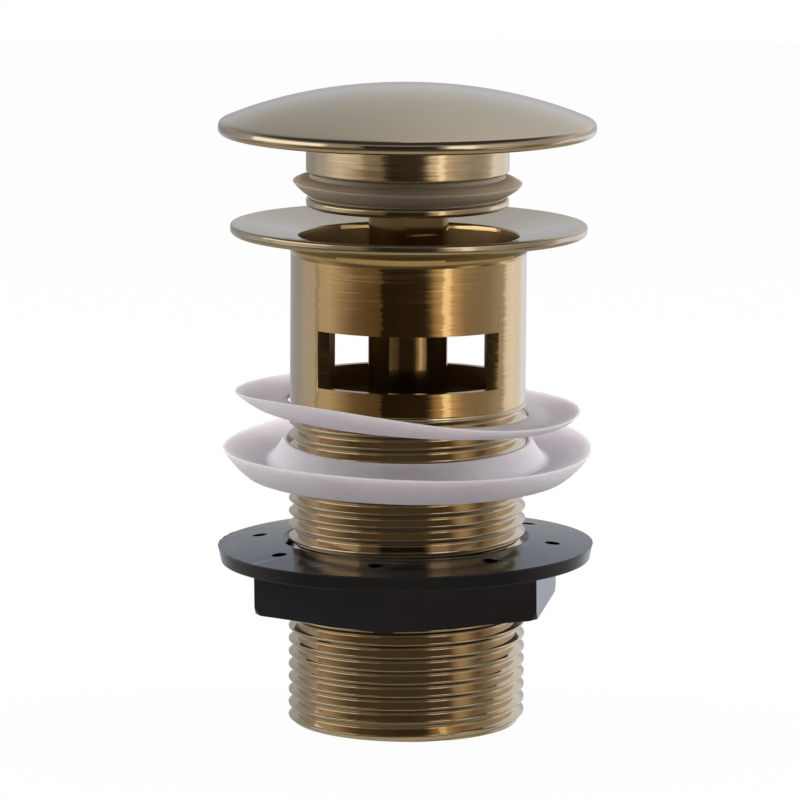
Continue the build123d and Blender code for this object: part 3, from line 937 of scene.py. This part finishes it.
def silicone_material(name, dark, light, depth, gloss=0.4):
    """Milky soft plastic, a little see-through at its edges, dulled by handling."""
    m = Maker(name)
    m.set(
        Subsurface_Weight=0.8,
        Subsurface_Radius=(1.0, 0.85, 0.8),
        Subsurface_Scale=depth,
        Specular_IOR_Level=gloss,
    )
    blotches = m.group(BLOTCHES, Large=70.0, Small=500.0)
    m.colours(blotches.outputs["Value"], 0.35, dark, 0.65, light)
    m.roughness(blotches.outputs["Value"], 0.42, 0.58)
    m.bump(blotches.outputs["Value"], 0.08, 0.0002)
    return m.material


def plastic_material(name, dark, light):
    """Glossy black moulded plastic with grey scratches, smudges and a faint orange peel."""
    m = Maker(name)
    m.set(Specular_IOR_Level=0.38)
    scuffs = m.group(SCUFFS, Rubbed=0.4)
    m.colours(scuffs.outputs["Value"], 0.05, dark, 0.9, light)
    blotches = m.group(BLOTCHES, Large=160.0, Small=1500.0)
    m.roughness(blotches.outputs["Value"], 0.08, 0.18)
    m.bump(blotches.outputs["Value"], 0.06, 0.0002)
    return m.material


def steel_material(name, dark, light):
    """Turned stainless."""
    m = Maker(name)
    m.set(Metallic=1.0)
    blotches = m.group(BLOTCHES, Large=80.0, Small=1200.0)
    m.colours(blotches.outputs["Value"], 0.35, dark, 0.65, light)
    turning = m.group(TURNING)
    m.roughness(turning.outputs["Mask"], 0.22, 0.36)
    fill(m.tree, m.inputs["Normal"], turning.outputs["Normal"])
    return m.material


GOLD_DARK = (0.68, 0.475, 0.20)
GOLD_LIGHT = (0.72, 0.52, 0.24)
DOME_DARK = (0.64, 0.52, 0.34)
DOME_LIGHT = (0.67, 0.54, 0.36)

RIM_DARK = (0.59, 0.475, 0.31)
RIM_LIGHT = (0.62, 0.50, 0.33)
PLUG_DARK = (0.65, 0.52, 0.31)
PLUG_LIGHT = (0.68, 0.545, 0.33)
TAIL_DARK = (0.70, 0.56, 0.36)
TAIL_LIGHT = (0.74, 0.60, 0.40)
# The bore, the flange's underside and the slots' faces get a darker brass: painted shade inside the barrel
# and under the flange.
SHADED_BORE_DARK = (0.26, 0.17, 0.075)
SHADED_BORE_LIGHT = (0.33, 0.22, 0.10)
# The post stands inside the barrel: its darker gold is painted shade.
SHADED_POST_DARK = (0.42, 0.30, 0.14)
SHADED_POST_LIGHT = (0.47, 0.34, 0.17)

polished = brass_material("polished gold", TAIL_DARK, TAIL_LIGHT, (0.05, 0.09), (0.05, 0.02))
satin = brass_material("satin gold dome", DOME_DARK, DOME_LIGHT, (0.06, 0.09))
satin_flange = brass_material("satin gold flange", RIM_DARK, RIM_LIGHT, (0.07, 0.12), (0.04, 0.0))
brushed = brass_material("brushed gold plug", PLUG_DARK, PLUG_LIGHT, (0.07, 0.10), (0.15, 0.03), 2600.0, 90.0)
turned = brass_material("turned gold", GOLD_DARK, GOLD_LIGHT, (0.05, 0.08), (0.12, 0.03))
# Darker brass for the bore and the flange's underside: painted shade where little light reaches.
shade_darkened_brass = brass_material("brass darkened by painted shade", SHADED_BORE_DARK, SHADED_BORE_LIGHT, (0.34, 0.44), (0.1, 0.02))
# The post's gold, darkened as painted shade inside the barrel.
shade_darkened_post = brass_material("post gold darkened by painted shade", SHADED_POST_DARK, SHADED_POST_LIGHT, (0.09, 0.14), (0.1, 0.03))
# The slots' faces run between the painted shade colours of the bore and the post; their milling lines are
# real.
milled = brass_material("milled brass in painted shade", SHADED_BORE_DARK, SHADED_POST_DARK, (0.14, 0.22), (0.1, 0.6), 3600.0, 100.0)
raw = brass_material("raw brass", (0.55, 0.38, 0.16), (0.62, 0.45, 0.2), (0.2, 0.32), (0.2, 0.05))
seal_rubber = silicone_material("beige seal", (0.37, 0.30, 0.22), (0.43, 0.35, 0.26), 0.002)
washer_rubber = silicone_material("milky washer", (0.50, 0.47, 0.50), (0.56, 0.53, 0.55), 0.004, gloss=0.15)
black = plastic_material("black nut", (0.006, 0.006, 0.008), (0.14, 0.14, 0.14))
steel = steel_material("stainless", (0.5, 0.5, 0.5), (0.6, 0.6, 0.6))
acetal = silicone_material("white acetal", (0.7, 0.7, 0.68), (0.76, 0.76, 0.74), 0.001)


def dress(piece, material):
    """Puts one material on a whole piece."""
    dress_parts(piece, [material], lambda middle, normal: 0)


def dress_parts(piece, materials, choose):
    """Puts several materials on a piece; from a face's middle and normal, choose says which."""
    piece.data.materials.clear()
    for material in materials:
        piece.data.materials.append(material)
    for polygon in piece.data.polygons:
        polygon.material_index = choose(polygon.center / MM, polygon.normal)


def facing_out(middle, normal):
    """How far a face turns away from the drain axis: 1 straight out, -1 straight in."""
    return (normal.x * middle.x + normal.y * middle.y) / math.hypot(middle.x, middle.y)


def barrel_part(middle, normal):
    """0 the outside, 1 the flange's top and rim, 2 the bore and the underside, darkened as painted shade, 3
    the slots' faces, darkened as painted shade.
    """
    r = math.hypot(middle.x, middle.y)
    # The flange's underside takes the darker brass: painted shade under the flange.
    if BARREL_R + 0.1 < r < FLANGE_R - 1.6 and normal.z < -0.2:
        return 2
    if middle.z > FLANGE_TOP - 3.5 and r > MOUTH_R and (normal.z > 0.3 or r > FLANGE_R - 1):
        return 1
    if r < BARREL_BORE_R + 0.3 and facing_out(middle, normal) < -0.5:
        return 2
    in_slot = SLOT_LOW - 0.6 < middle.z < SLOT_LOW + SLOT_HEIGHT + 0.6
    return 3 if in_slot and facing_out(middle, normal) < 0.9 else 0


def tail_part(middle, normal):
    """0 the threaded outside, 1 the bore, darkened as painted shade."""
    inner = math.hypot(middle.x, middle.y) < BARREL_BORE_R + 0.1
    return 1 if inner and facing_out(middle, normal) < -0.3 else 0


# The object

cap = new_piece("domed_cap", cap_mesh(), "plug", ["mushroom_cap"])
plug = new_piece("turned_plug", plug_mesh(), "plug", ["plug_body"])
seal = new_piece("lip_seal", seal_mesh(), "plug", ["plug_seal"])
post = post_piece()
barrel = barrel_piece()
tail = tail_piece()
spider = spider_piece()
upper_washer = dished_washer_piece()
lower_washer = hub_washer_piece()
nut = nut_piece()

dress(cap, satin)
dress(plug, brushed)
dress(seal, seal_rubber)
# The post's material is darkened as painted shade.
dress(post, shade_darkened_post)
# The bore, the underside and the slots' faces take materials darkened as painted shade.
dress_parts(barrel, [turned, satin_flange, shade_darkened_brass, milled], barrel_part)
dress_parts(tail, [polished, shade_darkened_brass], tail_part)
dress(spider, raw)
dress(upper_washer, washer_rubber)
dress(lower_washer, washer_rubber)
for see_through in (upper_washer, lower_washer):
    see_through.visible_shadow = False
    see_through.visible_glossy = False
dress(nut, black)

INNER = {
    "track_core": acetal,
    "index_ring": acetal,
    "latch_stem": steel,
    "stop_washer": steel,
    "lock_washer": steel,
    "lock_nut": steel,
    "return_spring": steel,
    "bush_clip": steel,
    "sleeve_bush": raw,
    "spring_seat": raw,
    "cap_stud": raw,
}
for node, material in INNER.items():
    dress(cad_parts[node], material)


# Studio: pale floor, a surround that only polished surfaces see, soft lamps, camera


def between(stops, place):
    """Value at a place on a line of (place, value) stops, level beyond both ends."""
    if place <= stops[0][0]:
        return stops[0][1]
    for (a, low_value), (b, high_value) in zip(stops, stops[1:]):
        if place <= b:
            return low_value + (high_value - low_value) * (place - a) / (b - a)
    return stops[-1][1]


def across(stops, place):
    """The same for stops whose values are colours."""
    return [between([(a, colour[n]) for a, colour in stops], place) for n in range(3)]


# Brightness of the studio wall by its angle from the front, positive towards +X, at four heights:
# what the rims meet, with a lamp box on either side, then the plug, the barrel, and the tail lowest.
WALL_RIM = [
    (-180, 0.50), (-151, 0.30), (-118, 0.40), (-108, 0.50), (-105, 1.40), (-54, 1.40), (-48, 0.40),
    (-31, 0.29), (-25, 0.03), (17, 0.03), (22, 0.40), (26, 1.30), (39, 1.30), (45, 0.66),
    (60, 0.54), (76, 0.40), (85, 0.38), (94, 0.41), (105, 0.50), (116, 0.62), (131, 0.60),
    (151, 0.60), (180, 0.50),
]
WALL_TOP = [
    (-180, 0.50), (-155, 0.34), (-133, 0.38), (-118, 0.50), (-106, 0.49), (-95, 0.64), (-82, 0.77),
    (-69, 0.67), (-53, 0.42), (-45, 0.35), (-31, 0.29), (-24, 0.12), (-17, 0.05), (10, 0.06),
    (16, 0.11), (23, 0.45), (30, 0.72), (37, 1.31), (45, 0.71), (60, 0.54), (76, 0.40),
    (85, 0.38), (94, 0.41), (105, 0.56), (116, 1.03), (131, 0.96), (151, 0.93), (180, 0.50),
]
WALL_HIGH = [
    (-180, 0.50), (-150, 0.43), (-134, 0.42), (-118, 0.52), (-103, 0.52), (-101, 0.36), (-98, 0.38),
    (-96, 0.50), (-82, 0.49), (-67, 0.27), (-54, 0.13), (-40, 0.09), (-27, 0.07), (-25, 0.012),
    (17, 0.018), (21, 0.05), (27, 0.26), (33, 0.42), (35, 1.05), (40, 1.05), (43, 0.52),
    (50, 0.34), (57, 0.23), (70, 0.22), (85, 0.26), (94, 0.34), (105, 0.42), (111, 0.95),
    (122, 1.05), (135, 0.95), (148, 1.05), (160, 0.90), (180, 0.50),
]
WALL_LOW = [
    (-180, 0.50), (-150, 0.50), (-118, 0.24), (-107, 0.20), (-98, 0.30), (-89, 0.36), (-81, 0.30),
    (-73, 0.22), (-66, 0.16), (-60, 0.10), (0, 0.05), (38, 0.08), (46, 0.12), (52, 0.37),
    (59, 0.51), (66, 0.41), (73, 0.24), (81, 0.10), (90, 0.16), (98, 0.34), (107, 0.94),
    (118, 0.60), (130, 0.80), (150, 0.92), (180, 0.50),
]
# Tint of what it reflects, by the angle from the front on either side
WALL_TINT = [
    (0, (1.45, 1.0, 0.62)), (40, (1.42, 1.0, 0.64)), (60, (1.24, 1.0, 0.84)), (80, (1.12, 1.0, 0.98)),
    (100, (1.02, 1.0, 1.15)), (120, (0.93, 1.0, 1.42)), (150, (0.90, 1.0, 1.30)), (180, (0.93, 1.0, 1.12)),
]
SKY_TINT = (0.94, 1.0, 1.12)
GROUND_TINT = (1.0, 0.94, 0.76)
# Where one row of the wall gives way to the next above it: elevation in degrees, and the blend's height
LOW_ENDS, LOW_BLEND = -9.2, 2.2
TOP_STARTS, TOP_BLEND = -7.3, 0.5
RIM_STARTS, RIM_BLEND = -5.2, 0.8
BALL_R = 1.7
BALL_HEIGHT = 0.06
FLOOR_R = 1.2
# How much of the floor glows where the camera sees it, and how bright the world is where it doesn't
FLOOR_GLOW = 0.97
WORLD_GLOW = 0.165


def studio_colour(azimuth, elevation):
    """Colour of the surround in one direction, both angles in degrees."""
    side = abs(azimuth)
    lower = ease((LOW_ENDS - elevation) / LOW_BLEND)
    level = between(WALL_HIGH, azimuth) * (1 - lower) + between(WALL_LOW, azimuth) * lower
    # The barrel's nod lifts what it mirrors, most of all at its front
    top_starts = TOP_STARTS + 2 * BARREL_NOD * math.cos(math.radians(azimuth / 2))
    for stops, start, blend in ((WALL_TOP, top_starts, TOP_BLEND), (WALL_RIM, RIM_STARTS, RIM_BLEND)):
        upper = ease((elevation - start) / blend)
        level = level * (1 - upper) + between(stops, azimuth) * upper
    # Low and high rows are plainer in colour, and so is a bright place in front
    plain = max(0.5 * lower, 0.6 * ease((elevation - top_starts) / TOP_BLEND))
    tint = [1 + (t - 1) * (1 - plain) for t in across(WALL_TINT, side)]
    pale = 0.8 * ease(level - 0.2) if side < 90 else 0.0
    wall = [level * (t + (1 - t) * pale) for t in tint]
    # The sky: dark in front but for a low band, bright behind and brighter on the right
    back = ease((side - 105) / 40)
    front_level = 0.05 + 0.25 * ease((36 - elevation) / 8)
    swing = min(max(math.sin(math.radians(azimuth)), -0.5), 0.5)
    back_level = 0.52 + 0.42 * swing + 0.09 * ease((30 - elevation) / 20)
    sky_level = front_level * (1 - back) + back_level * back
    sky_starts = 2 if back > 0.5 else 12
    rise = ease((elevation - sky_starts) / 10)
    # The ground: dark only in front, just below the wall
    below = 0.10 + 0.28 * max(ease((side - 50) / 60), ease((-elevation - 24) / 14))
    sink = ease((-elevation - 15) / 8)
    colour = []
    for w, sky_part, ground_part in zip(wall, SKY_TINT, GROUND_TINT):
        upright = w * (1 - rise) + sky_level * sky_part * rise
        colour.append(upright * (1 - sink) + below * ground_part * sink)
    return colour


def empty_material(name):
    """A material without nodes, and its node tree."""
    material = bpy.data.materials.new(name)
    material.use_nodes = True
    material.node_tree.nodes.clear()
    return material, material.node_tree


def studio_surround():
    """A large ball round the object and the camera. Only polished surfaces see it, in reflections."""
    elevations = [-88 + 4 * n for n in range(18)] + [-16 + 0.4 * n for n in range(76)]
    elevations += [16 + 4 * n for n in range(19)]
    outline = []
    for elevation in elevations:
        angle = math.radians(elevation)
        outline.append((math.cos(angle) * BALL_R / MM, math.sin(angle) * BALL_R / MM))
    bm = bmesh.new()
    lathe_into(bm, outline, closed=False, segments=360)
    ball = loose_object("studio_surround", bm)
    glow = ball.data.color_attributes.new("glow", "FLOAT_COLOR", "POINT")
    for vertex in ball.data.vertices:
        azimuth = math.degrees(round_axis(vertex.co))
        elevation = math.degrees(math.asin(vertex.co.z / BALL_R))
        glow.data[vertex.index].color = (*studio_colour(azimuth, elevation), 1)
    ball.location.z = BALL_HEIGHT
    material, tree = empty_material("studio glow")
    paint = tree.nodes.new("ShaderNodeAttribute")
    paint.attribute_name = "glow"
    light = tree.nodes.new("ShaderNodeEmission")
    fill(tree, light.inputs["Color"], paint.outputs["Color"])
    fill(tree, tree.nodes.new("ShaderNodeOutputMaterial").inputs["Surface"], light.outputs[0])
    material.cycles.emission_sampling = "NONE"
    ball.data.materials.append(material)
    for kind in ("camera", "diffuse", "transmission", "volume_scatter", "shadow"):
        setattr(ball, "visible_" + kind, False)


def seen_directly(tree):
    """A value that is 1 for the camera, and for what polished or clear surfaces show of the background."""
    rays = tree.nodes.new("ShaderNodeLightPath").outputs
    first = worked(tree, "Math", "MAXIMUM", rays["Is Camera Ray"], rays["Is Glossy Ray"])
    return worked(tree, "Math", "MAXIMUM", first, rays["Is Transmission Ray"])


def floor_piece():
    """Pale floor under the tail: white to the camera, with a trace of the object's shadow."""
    bm = bmesh.new()
    bmesh.ops.create_circle(bm, cap_ends=True, segments=64, radius=FLOOR_R)
    floor = loose_object("floor", bm)
    material, tree = empty_material("pale floor")
    matt = tree.nodes.new("ShaderNodeBsdfDiffuse")
    matt.inputs["Color"].default_value = (0.6, 0.6, 0.61, 1)
    glow = tree.nodes.new("ShaderNodeEmission")
    mix = tree.nodes.new("ShaderNodeMixShader")
    fill(tree, mix.inputs["Fac"], worked(tree, "Math", "MULTIPLY", seen_directly(tree), FLOOR_GLOW))
    fill(tree, mix.inputs[1], matt.outputs[0])
    fill(tree, mix.inputs[2], glow.outputs[0])
    fill(tree, tree.nodes.new("ShaderNodeOutputMaterial").inputs["Surface"], mix.outputs[0])
    floor.data.materials.append(material)
    floor.visible_glossy = False


def area_light(name, angle, height, distance, size, power):
    """A soft lamp aimed at the middle of the object."""
    data = bpy.data.lights.new(name, "AREA")
    data.shape = "DISK"
    data.size = size
    data.energy = power
    lamp = bpy.data.objects.new(name, data)
    bpy.context.scene.collection.objects.link(lamp)
    at = front(angle) * distance
    lamp.location = (at.x, at.y, height)
    aim = Vector((0, 0, BALL_HEIGHT)) - lamp.location
    lamp.rotation_euler = aim.to_track_quat("-Z", "Y").to_euler()
    lamp.visible_glossy = False


studio_surround()
floor_piece()
area_light("soft_top", 180, 0.9, 0.25, 0.7, 6.5)
area_light("soft_left", -100, 0.35, 0.8, 0.6, 7.4)
area_light("soft_right", 100, 0.35, 0.8, 0.6, 8.4)

world = bpy.data.worlds.new("studio")
bpy.context.scene.world = world
world.use_nodes = True
sky = world.node_tree.nodes["Background"]
sky.inputs["Color"].default_value = (1, 1, 1, 1)
strength = carried(world.node_tree, seen_directly(world.node_tree), 0.0, 1.0, WORLD_GLOW, 1.0)
fill(world.node_tree, sky.inputs["Strength"], strength)

# Camera, fitted to the rims' ellipses in the photograph

FOCAL_PIXELS = 5480.0
PHOTO_PIXELS = 800
PITCH = 9.56
ROLL = 0.28
DISTANCE = 0.969
LOOK_HEIGHT = 0.05735
AXIS_PIXEL = 407.6

camera_data = bpy.data.cameras.new("camera")
camera_data.sensor_width = 36.0
camera_data.lens = FOCAL_PIXELS / PHOTO_PIXELS * camera_data.sensor_width
camera = bpy.data.objects.new("camera", camera_data)
bpy.context.scene.collection.objects.link(camera)
pitch = math.radians(PITCH)
side = -(AXIS_PIXEL - PHOTO_PIXELS / 2) * DISTANCE / FOCAL_PIXELS
spot = Matrix.Translation((side, -DISTANCE * math.cos(pitch), LOOK_HEIGHT + DISTANCE * math.sin(pitch)))
camera.matrix_world = (
    spot @ Matrix.Rotation(math.pi / 2 - pitch, 4, "X") @ Matrix.Rotation(math.radians(ROLL), 4, "Z")
)
bpy.context.scene.camera = camera
bpy.context.scene.view_settings.view_transform = "Standard"
